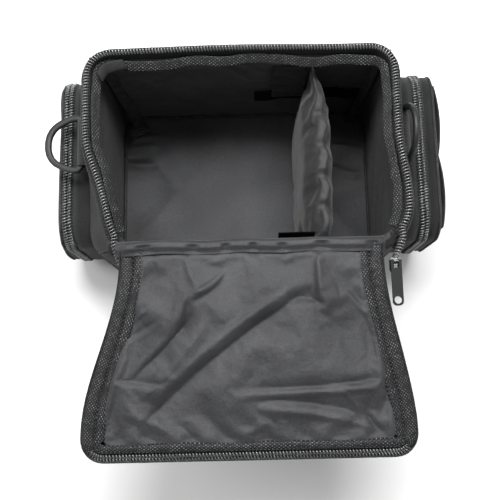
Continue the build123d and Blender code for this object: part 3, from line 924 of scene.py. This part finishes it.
def lid_space(a, b, h):
    """Points of the open lid: a along the hinge, b out from it, h above the lining's plane."""
    turn = math.radians(OPEN_ANGLE)
    a, b, h = np.broadcast_arrays(a, b, h)
    a = a + 4.5 * smooth(150, 20, b) - 1.0 * smooth(80, 175, b)
    z = LINING_PLANE - h
    y_turned = b * math.cos(turn) - z * math.sin(turn)
    z_turned = b * math.sin(turn) + z * math.cos(turn)
    return np.stack([a, HINGE_Y + y_turned, HINGE_Z + z_turned], axis=-1)


def lid_vector(a, b, h):
    """The direction in the row frame of a step in the lid's own plane."""
    return lid_space(a, b, h) - lid_space(0.0, 0.0, 0.0)


def lid_half(b):
    """Half the lid's width: drawn in at the hinge, full at the far end."""
    return LID_NECK + LID_SPREAD * smooth(14, 175, b)


def lid_edge(step):
    """The lid's free edge in its own plane, from the hinge's right end round to its left end."""
    b = np.linspace(1.5, LID_END - LID_R, 40)
    right = np.column_stack([lid_half(b), b])
    angle = np.linspace(0, np.pi / 2, 10)[1:]
    half = lid_half(LID_END) - LID_R
    corner = np.column_stack([half + LID_R * np.cos(angle), LID_END - LID_R + LID_R * np.sin(angle)])
    one_side = np.vstack([right, corner])
    other = one_side[::-1] * [-1, 1]
    return resample(np.vstack([one_side, other]), step)


def band_share(out):
    """0 along the lid's sides and 1 along its far end."""
    return smooth(0.35, 0.9, out[:, 1])


def lid_ribbon(name, insets, rises, material, thick, wander=0.0):
    """A band along the lid's free edge. insets and rises give its section for the sides and the end."""
    step = 2.5
    edge = lid_edge(step)
    out = normals_2d(edge)
    share = band_share(out)[:, None]
    inset = (1 - share) * np.array(insets[0], float) + share * np.array(insets[1], float)
    rise = (1 - share) * np.array(rises[0], float) + share * np.array(rises[1], float)
    along = np.arange(len(edge))[:, None] * step
    inset = inset + wander * np.sin(along / 15) * np.linspace(0, 1, inset.shape[1])
    near = smooth(26, 0, edge[:, 1])[:, None]
    rise = rise - 1.4 * near + 0.5 * np.sin(along / 19)
    flat = edge[:, None] - out[:, None] * inset[..., None]
    points = lid_space(flat[..., 0], flat[..., 1], rise)
    return grid_piece(name, points, material, thick=thick)


# start, end (along the hinge, out from it), width, height and bow of the creases in the lid's lining
LID_FOLDS = [
    ((52, 44), (-98, 166), 8.5, -7.0, 7),
    ((44, 38), (-84, 140), 7, 4.0, 7),
    ((-46, 56), (-106, 122), 6, -5.0, -3),
    ((-40, 70), (-96, 140), 9, 3.6, -3),
    ((-22, 22), (-56, 46), 3.0, 3.6, -4),
    ((-24, 28), (-54, 52), 3.5, -3.6, -4),
    ((-56, 50), (-62, 84), 6, -3.4, 0),
    ((-122, 78), (-92, 58), 3, 3.4, 1),
    ((-124, 90), (-80, 66), 3.5, -3.2, 2),
    ((-112, 24), (-104, 62), 3.5, 3.4, 0),
    ((-104, 18), (-96, 64), 3.5, -3.2, 0),
    ((-8, 131), (134, 122), 3.2, -3.4, 3),
    ((-8, 137), (134, 128), 3.5, 2.6, 3),
    ((0, 142), (108, 158), 6, -4.6, -4),
    ((0, 150), (108, 167), 5, 3.2, -4),
    ((62, 8), (66, 66), 6, 4.0, 4),
    ((30, 52), (66, 58), 7, -4.6, -3),
    ((92, 34), (124, 84), 5, 3.4, -4),
    ((86, 44), (118, 92), 4, -3.2, -4),
    ((-60, 10), (-30, 62), 8, 2.8, 5),
    ((-116, 150), (-60, 176), 6, 3.2, -4),
    ((-20, 174), (20, 160), 6, 3.0, 3),
    ((100, 150), (124, 176), 3, -4.4, 2),
    ((-120, 120), (-70, 124), 3, -2.4, 2),
]


def lid_lining():
    """Slack lining of the lid, held by its bound edge, with creases that run from the hinge."""
    first, last = 5.0, LID_END - END_BAND + 2
    b = np.arange(first, last, LINING_STEP)
    half = lid_half(b) - SIDE_BAND + 2.5
    near_end = smooth(last - 10, last, b)
    half = half - 5 * near_end
    s = np.linspace(-1, 1, 104)
    a = half[:, None] * s[None, :]
    b = np.broadcast_to(b[:, None], a.shape)
    rim = np.minimum(np.minimum(half[:, None] - np.abs(a), last - b), b - first + 3)
    held = smooth(0, 16, rim)
    height = 0.4 + 5.2 * smooth(0, 60, rim) + 0.8 * waves(a, b, 17, 4) * held
    height = height + 0.45 * waves(a + 0.6 * b, b - 0.4 * a, 7.5, 6) * held
    for crease in LID_FOLDS:
        height = height + fold(a, b, *crease) * held
    pucker = smooth(20, 4, rim) * smooth(0, 4, rim) * 1.5 * np.sin(a / 5.3 + 2 * np.sin(b / 21))
    height = np.clip(height + pucker * smooth(first + 6, first + 16, b), -3.2, 11)
    height = -2.6 + (height + 2.6) * smooth(first, first + 9, b)
    piece = grid_piece("lid_lining_pad", lid_space(a, b, height), LINING)
    rows, cols = a.shape
    index = np.arange(rows * cols).reshape(rows, cols)
    border = np.concatenate([part.ravel() for part in (index[:2], index[-2:], index[:, :2], index[:, -2:])])
    settle(piece, border, pressure=0.4, growth=0.02, cap=3.0)
    thicken(piece, 1.0)
    subdivide(piece)
    place(piece, "lid", "lining_cloth", "lid_lining", "lid_foam")


def lid_shell():
    """Outer cloth of the lid, rounded over at its edge, with a corded seam."""
    edge = resample(lid_edge(SHELL_STEP), SHELL_STEP, closed=True)
    insets = [0.4, 0.0, 0.6, 2.2, 4.8]
    depths = [1.2, 4.0, 6.6, 8.2, LID_BACK]
    rings = pillow_points(edge, 0.55, depths, insets, 100, 1.0, LID_END / 2)
    a, b, depth = rings[..., 0], rings[..., 1], rings[..., 2]
    depth = depth + 0.6 * waves(a, b, 27, 5) * smooth(4, 9, depth)
    depth[-1] = LID_BACK + 1.0
    piece = welded(grid_piece("lid_outer_cloth", lid_space(a, b, LINING_PLANE - depth), OUTER, close=True))
    place(thicken(piece, 1.0, 1.0), "lid", "outer_cloth", "lid_panel")
    edge = lid_edge(SHELL_STEP)
    path = lid_space(edge[:, 0], edge[:, 1], -5.6)
    place(tube("lid_piping", path, 1.4, BINDING), "lid", "binding")


def lid_bands():
    """Zip tape, dotted binding, coils and stitching round the lid's free edge."""
    insets = ([0.3, 4, 8, 12.4], [3.6, 5.0, 7.0, 9.2])
    rises = ([-1.0, 0.2, 0.5, 0.2], [-0.4, -3.0, -3.2, -0.2])
    tape = lid_ribbon("lid_side_tape", insets, rises, BINDING, 0.8)
    place(tape, "lid", "zip_tape", "lid_zip_tape")
    insets = ([13.2, 16, 19, 21.6], [8.0, 10.5, 13.4, 16.4])
    rises = ([0.6, 2.1, 2.3, 0.8], [0.6, 2.6, 3.4, 1.6])
    bound = lid_ribbon("lid_binding_tape", insets, rises, COARSE_BINDING, 1.0, wander=0.9)
    place(bound, "lid", "binding", "lid_binding")
    edge = lid_edge(1.25)
    out = normals_2d(edge)
    share = band_share(out)
    stand = lid_vector(0.0, 0.0, 1.0)
    # which coil, where it begins, its inset and rise along the end, its phase, the CAD nodes it stands for
    coils = (
        ("outer", 11, 1.4, -2.6, 0.0, ["lid_zip_coil"]),
        ("inner", LID_END - 6, 4.7, -1.4, math.pi, []),
    )
    for name, begin, inset_end, rise_end, phase, nodes in coils:
        keep = edge[:, 1] > begin
        inset = inset_end * share + 2.4 * (1 - share)
        flat = (edge - out * inset[:, None])[keep]
        rise = (rise_end * share - 4.4 * (1 - share))[keep]
        path = lid_space(flat[:, 0], flat[:, 1], rise)
        away = lid_vector(out[keep, 0], out[keep, 1], 0.0)
        lean, rise_way = away * 0.92 - stand * 0.35, stand * 0.92 + away * 0.35
        wound = coil(f"lid_{name}_coil", path, lean, rise_way, 3.9, 2.2, phase)
        place(wound, "lid", "zip_coil", *nodes)
    rows = []
    for inset_side, inset_end, height in ((12.8, 9.0, 1.5), (20.4, 15.0, 2.6)):
        inset = inset_side * (1 - share) + inset_end * share
        flat = edge - out * inset[:, None]
        rows.append((lid_space(flat[:, 0], flat[:, 1], height), stand))
    place(stitches("lid_stitching", rows), "lid", "binding")


def hinge_cloth():
    """Lining that rolls over the hinge from the front wall into the lid, puckered along its seam."""
    right_end = 126
    a = np.linspace(-LID_NECK, right_end, 150)
    section = np.array([(-89.6, 150), (-90.2, 164), (-90.4, 174), (-92.0, 181.2), (-95.2, 184.6),
                        (-99.0, 184.4), (-102.4, 181.4), (-105.0, 180.6)])
    t = np.linspace(0, len(section) - 1, 26)
    y = np.interp(t, np.arange(len(section)), section[:, 0])
    z = np.interp(t, np.arange(len(section)), section[:, 1])
    grid_a, grid_y = grid(a, y)
    grid_z = np.broadcast_to(z, grid_a.shape).copy()
    over = smooth(170, 183, grid_z)
    gathers = np.maximum(np.sin(grid_a / 5.2 + 1.8 * np.sin(grid_a / 27)), 0) ** 3
    gathered = smooth(-95, -98, grid_y) * smooth(-104.6, -101, grid_y)
    grid_z += over * (0.8 * np.sin(grid_a / 15) - 3.4 * gathers * gathered)
    grid_z -= 6 * smooth(104, right_end, grid_a) * over + 5 * smooth(-106, -LID_NECK, grid_a) * over
    grid_y = grid_y + over * 0.7 * np.sin(grid_a / 11 + 2)
    points = np.stack([grid_a, grid_y, grid_z], axis=-1)
    piece = grid_piece("hinge_lining_roll", points, LINING, thick=1.0)
    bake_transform(piece)
    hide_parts("hinge_strip")


def carry_handle():
    """Webbing handle on the lid's outer face, bowed between two stitched ends."""
    reach, patch, rise = 60.0, 26.0, 12.0
    a = np.linspace(-reach - patch, reach + patch, 90)
    bow = np.where(np.abs(a) < reach, rise * (1 - (a / reach) ** 2), 0)
    depth = LID_BACK + 1.4 + bow
    middle = LID_END / 2 - 3.5
    path = lid_space(a, np.full(90, middle), LINING_PLANE - depth)
    across = lid_vector(0.0, 1.0, 0.0)
    out = unit(np.cross(across, np.gradient(path, axis=0)))
    piece = sweep("carry_handle_webbing", path, across, out, oval(30, 2.2, 28, 6), WEB)
    place(piece, "lid", "webbing", "carry_handle")
    rows = []
    for s in (-1, 1):
        a0, a1 = s * (reach + 3), s * (reach + patch - 3)
        b0, b1 = middle - 12, middle + 12
        for ends in (((a0, a1), (b0, b0)), ((a1, a1), (b0, b1)), ((a1, a0), (b1, b1)),
                     ((a0, a0), (b1, b0)), ((a0, a1), (b0, b1)), ((a0, a1), (b1, b0))):
            path = lid_space(*np.array(ends, float), LINING_PLANE - (LID_BACK + 2.7))
            rows.append((path, lid_vector(0.0, 0.0, -1.0)))
    place(stitches("carry_handle_stitching", rows), "lid", "webbing")


for make in (lid_lining, lid_shell, lid_bands, hinge_cloth, carry_handle):
    make()


# ---- divider ----
def divider():
    """Soft padded divider: leaf-shaped in plan, its top pinched into an uneven ridge."""
    low, high = DIVIDER_LOW, DIVIDER_HIGH
    y = np.linspace(low[1] + 0.5, high[1] - 0.5, 74)
    back, front = smooth(high[1] + 2, 42, y), smooth(low[1] - 22, low[1] + 26, y)
    width = 5 + 21 * back ** 0.7 * (0.35 + 0.65 * front)
    zigzag = 2 * np.abs((y / 31 + 0.2) % 1 - 0.5)
    crest_x = 5.5 * smooth(80, 50, y) + 4.5 * (zigzag - 0.3) * smooth(70, 30, y)
    crest_z = high[2] - 1.5 + 1.2 * np.sin(y / 21 + 1) - 5 * smooth(low[1] + 22, low[1], y)
    t = np.linspace(0, 1, 30)
    slack = (1 - t ** 2.6) ** 0.7
    full = (1 - t ** 7) ** 0.8 * (0.75 + 0.25 * smooth(0.1, 0.8, t))
    sides = []
    for s, order, shape in ((-1, t, slack), (1, t[-2::-1], full[-2::-1])):
        x = DIVIDER_X + s * shape[None, :] * width[:, None] / 2 + crest_x[:, None] * order[None, :] ** 6
        z = low[2] + 0.6 + (crest_z[:, None] - low[2]) * (1 - (1 - order[None, :]) ** 1.5)
        pinch = np.abs(np.sin(y / 9.9 + 0.9)) ** 9 * smooth(72, 40, y)
        dent = 1.2 * waves(y[:, None], z, 13, 6 + s) * shape[None, :]
        dent = dent + 2.6 * pinch[:, None] * order[None, :] ** 4
        grid_y = np.broadcast_to(y[:, None], x.shape)
        sides.append(np.stack([x - s * dent * 0.7, grid_y, z - dent * order[None, :] ** 6], axis=-1))
    points = np.concatenate(sides, axis=1)
    piece = grid_piece("divider_pad", points, PAINTED_SHADE_DIVIDER_LINING, close=True, caps=True)
    count = points.shape[1]
    index = np.arange(len(y) * count).reshape(len(y), count)
    ridge = len(t) - 1
    held = np.concatenate([index[0], index[-1], index[:, 0], index[:, -1], index[:, ridge]])
    settle(piece, held, pressure=1.2, growth=0.03, cap=3.5)
    subdivide(piece)
    place(piece, "divider", "lining_cloth", "divider_cover", "divider_foam")


def divider_tabs():
    """Stitched tabs that hold the divider to the loop strips."""
    for name, facing in (("divider_back_tab", -1), ("divider_front_tab", 1)):
        low, high = span(name)
        x, z = grid(np.linspace(low[0], high[0], 22), np.linspace(low[2], high[2], 40))
        y = low[1] if facing < 0 else high[1]
        pleats = 0.8 * np.abs(np.sin(z / 6.5 + 0.5 * np.sin(x / 7))) * smooth(0, 5, z - low[2])
        loose = 9 * smooth(low[2] + 4, high[2], z) * (facing > 0)
        points = np.stack([x, y + facing * pleats * (0.4 if facing > 0 else 1.0) + loose, z], axis=-1)
        # the back tab takes the darker copy of the lining, which is painted shade
        cloth = PAINTED_SHADE_LINING if facing < 0 else HOOK
        piece = grid_piece(name + "_cloth", points, cloth, thick=-0.9 * facing)
        place(piece, "divider", "hook_loop", name)
        x0, x1, z0, z1 = low[0] + 2, high[0] - 2, low[2] + 2, high[2] - 2
        corners = [(x0, z0), (x1, z0), (x1, z1), (x0, z1), (x0, z0)]
        path = np.array([(cx, y + facing * 0.9, cz) for cx, cz in corners])
        thread = stitches(name + "_stitching", [(path, ALONG_WALL * facing)])
        place(thread, "divider", "hook_loop")


divider()
divider_tabs()


# ---- D-rings ----
def ring_outline():
    """Middle line of a ring's bar: along its hinge bar, then out from it, with cut corners."""
    corners = [(-26, 0), (-26.5, 14), (-14, 35.5), (14, 35.5), (26.5, 14), (26, 0)]
    return resample(rounded_corners(corners, 2), 1.6, closed=True)


def d_rings():
    """Moulded rings, flat-barred with cut corners: the left one lies out, the right one stands up."""
    bar = oval(6.4, 5.0, 12, 3.4)
    plan = ring_outline()
    for (side, sx), tilt in zip(SIDES, (97, 5)):
        turn = math.radians(tilt)
        outward = np.array([sx * math.sin(turn), 0, math.cos(turn)])
        path = RING_PIVOT[side] + plan[:, :1] * [0, 1, 0] + plan[:, 1:] * outward
        flat = np.cross(ALONG_WALL, outward)
        across = np.cross(directions(path, closed=True), flat)
        piece = sweep(side + "_ring_bar", path, across, flat, bar, PLASTIC, ring=True)
        place(piece, side + "_ring", "ring_plastic", side + "_d_ring")


def ring_loops():
    """The webbing loops that hold the rings, sewn to the walls below them."""
    for (side, sx), nodes in zip(SIDES, (["d_ring_loops"], [])):
        pivot = RING_PIVOT[side]
        angle = np.radians(np.linspace(-90, 150, 22))
        around = np.column_stack([pivot[0] + sx * 4.9 * np.cos(angle), pivot[2] + 4.9 * np.sin(angle)])
        tail_x = sx * (HALF_W + 2.6)
        below = np.array([(tail_x, 133.0), (tail_x, 139.0), (tail_x + sx * 0.8, 143.0)])
        line = resample(np.vstack([below, around]), 1.6)
        path = np.column_stack([line[:, 0], np.full(len(line), pivot[1]), line[:, 1]])
        out = unit(np.cross(ALONG_WALL, np.gradient(path, axis=0)))
        piece = sweep(side + "_ring_loop", path, ALONG_WALL, out, oval(46, 1.8, 28, 7), WEB)
        place(piece, "bag", "webbing", *nodes)


d_rings()
ring_loops()


# ---- pockets ----
POCKET_R = 26.0
POCKET_DEPTH = {"left": 45.0, "right": 45.0, "front": 49.0}
POCKET_ZIP_LOW = 30.0                     # height at which a pocket's zip begins and ends
LEFT_POCKET_LEAN = 9.0                    # how far the left pocket's top sags back to the wall
POCKET_TURN = {"right": 0.0, "left": 180.0, "front": -90.0}


def pocket_box(name):
    """Start and end of a pocket along its wall, and its lowest and highest point."""
    low, high = span(name + "_pocket_gusset")
    axis = 0 if name == "front" else 1
    return low[axis], high[axis], low[2], high[2]


def pocket_space(name, u, v, z):
    """Row-frame points of a pocket: u out from its wall, v along the wall, z up."""
    turn = math.radians(POCKET_TURN[name])
    start, end, _, _ = pocket_box(name)
    middle = (start + end) / 2
    u, v, z = np.broadcast_arrays(u, v, z)
    out = u + (HALF_D if name == "front" else HALF_W)
    along = v + (-middle if name == "left" else middle)
    return np.stack([out * math.cos(turn) - along * math.sin(turn),
                     out * math.sin(turn) + along * math.cos(turn), z], axis=-1)


def pocket_sizes(name):
    """Half a pocket's length, and its lowest and highest point."""
    start, end, low, high = pocket_box(name)
    return (end - start) / 2, low, high


def pocket_shell(name, body, label, u_edge, insets, bulge, node):
    """Cloth tray whose rim faces the zip: insets and u_edge are its section at the edge."""
    half, low, high = pocket_sizes(name)
    middle, half_z = (low + high) / 2, (high - low) / 2
    outline = rounded_loop(half, half_z, POCKET_R, 4.0)
    rings = pillow_points(outline, 0.5, u_edge, insets, 60, bulge)
    v, z, u = rings[..., 0], rings[..., 1] + middle, rings[..., 2]
    soft = smooth(low, low + 8, z) * 0.9 * waves(v, z + u, 15, len(name))
    edge = 1 - smooth(0, 6, half - np.abs(v)) * smooth(0, 6, half_z - np.abs(z - middle))
    lean = LEFT_POCKET_LEAN * smooth(50, high, z) * smooth(30, 44, u) * (name == "left")
    v = v + np.sign(v) * soft * edge * 0.8
    u = u + soft * (1 - edge) * smooth(30, 44, u) - lean
    piece = grid_piece(label, pocket_space(name, u, v, z), OUTER, close=True, thick=1.2)
    place(piece, body, "outer_cloth", node)


def pocket_arch(name, inset, step):
    """The run of a pocket's zip: up one side, over the top and down the other, with its outward way."""
    half, low, high = pocket_sizes(name)
    middle = (low + high) / 2
    loop = rounded_loop(half - inset, (high - low) / 2 - inset, POCKET_R - inset, step)
    normal = normals_2d(loop, closed=True)
    keep = loop[:, 1] + middle >= POCKET_ZIP_LOW
    plan, out = loop[keep], normal[keep]
    return plan[:, 0], plan[:, 1] + middle, out


def pocket_line(name, u, v, z, out):
    """A pocket's line in the row frame, with the way out from its wall and the way out from its zip."""
    path = pocket_space(name, u, v, z)
    start = pocket_space(name, 0.0, 0.0, 0.0)
    away = pocket_space(name, 0.0, out[:, 0], out[:, 1]) - start
    across = np.broadcast_to(pocket_space(name, 1.0, 0.0, 0.0) - start, path.shape)
    return path, across, away


def pocket_zip(name):
    """Both halves of a closed pocket zip, each with its tape, its coil and two rows of stitches."""
    # which half, its body, the tape's and the coil's place out from the wall, the tape's width, phase
    halves = (
        ("inner", "bag", 21.8, 23.9, 4.8, 0.0),
        ("outer", name + "_pocket_cover", 30.6, 28.5, 4.4, math.pi),
    )
    for half, rides, u_tape, u_coil, width, phase in halves:
        v, z, out = pocket_arch(name, -0.2, 2.5)
        path, across, away = pocket_line(name, u_tape, v, z, out)
        tape = sweep(f"{name}_pocket_{half}_tape", path, across, away, oval(width, 0.9, 14, 5), TAPE)
        place(tape, rides, "zip_tape", f"{name}_pocket_zip_{half}")
        rows = [(path + away * 0.6 + across * aside, away) for aside in (1.2, -1.2)]
        thread = stitches(f"{name}_pocket_{half}_stitching", rows, 0.35)
        place(thread, rides, "zip_tape")
        v, z, out = pocket_arch(name, -1.3, 1.25)
        path, across, away = pocket_line(name, u_coil, v, z, out)
        wound = coil(f"{name}_pocket_{half}_coil", path, across, away, 4.3, 2.4, phase)
        place(wound, rides, "zip_coil")


def pocket_hinge(name):
    """Cloth along the pocket's bottom edge, where the cover folds down."""
    half, low, _ = pocket_sizes(name)
    v, u = grid(np.linspace(-half + POCKET_R, half - POCKET_R, 40), np.linspace(18, 35, 14))
    z = low - 0.6 + 0.3 * np.sin(v / 11)
    points = pocket_space(name, u, v, z)
    piece = grid_piece(name + "_pocket_fold", points, OUTER, thick=1.0)
    start, end = (pocket_space(name, at, 0.0, low)[()] * MM for at in (22.0, 31.0))
    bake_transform(piece)


def pocket_piping(name):
    """Corded seams round the pocket's face and round its wall side."""
    half, low, high = pocket_sizes(name)
    loop = rounded_loop(half + 0.2, (high - low) / 2 + 0.2, POCKET_R, 3.0)
    z = loop[:, 1] + (low + high) / 2
    for label, u, body in (("face", POCKET_DEPTH[name] - 3.4, name + "_pocket_cover"), ("wall", 1.6, "bag")):
        lean = LEFT_POCKET_LEAN * smooth(50, high, z) * (name == "left") * (label == "face")
        path = pocket_space(name, u - lean, loop[:, 0], z)
        place(tube(f"{name}_pocket_{label}_piping", path, 1.3, BINDING, closed=True), body, "binding")


def pockets():
    """The three pockets, each a tray on the wall and a tray-shaped cover that meet at the zip."""
    for name, depth in POCKET_DEPTH.items():
        cover = name + "_pocket_cover"
        pocket_shell(name, "bag", name + "_pocket_sides", [20.0, 14.0, 6.0, 1.6], [0.2, -0.3, -0.3, 0.4],
                     -0.6, name + "_pocket_gusset")
        face = [32.4, depth - 8, depth - 3.0, depth - 0.8, depth]
        pocket_shell(name, cover, name + "_pocket_face", face, [0.2, -0.4, 0.2, 2.4, 6.0], 1.2, cover)
        pocket_zip(name)
        pocket_hinge(name)
        pocket_piping(name)


def right_webbing():
    """Strap on the right pocket's face, tacked down at intervals and bowed between."""
    low, high = span("right_webbing")
    y = np.linspace(low[1], high[1], 120)
    half = (high[1] - low[1]) / 2
    middle = (low[1] + high[1]) / 2
    face, bow = HALF_W + 47.4, 4.2
    x = face + bow * np.abs(np.sin(np.pi * (y - middle) / half)) ** 0.8
    path = np.column_stack([x, y, np.full(120, (low[2] + high[2]) / 2)])
    out = unit(np.cross(np.gradient(path, axis=0), UP))
    piece = sweep("right_webbing_strap", path, UP, out, oval(high[2] - low[2], 1.8, 26, 7), WEB)
    place(piece, "right_pocket_cover", "webbing", "right_webbing")
    rows = []
    for at in (low[1] + 4, middle - 3, middle + 3, high[1] - 4):
        line = np.array([(face + 1.2, at, low[2] + 2), (face + 1.2, at, high[2] - 2)])
        rows.append((line, np.array([1.0, 0.0, 0.0])))
    place(stitches("right_webbing_tacks", rows, 0.6), "right_pocket_cover", "webbing")


pockets()
right_webbing()


# ---- CAD pieces that keep their own shape ----
def keep_node(name, material):
    node = frame["nodes"][name]
    node.data.materials.clear()
    node.data.materials.append(material)


for node_name in frame["nodes"]:
    if node_name.endswith("_slider"):
        keep_node(node_name, METAL)
    elif node_name.endswith("_pull"):
        keep_node(node_name, RUBBER)
keep_node("base_board", BOARD)
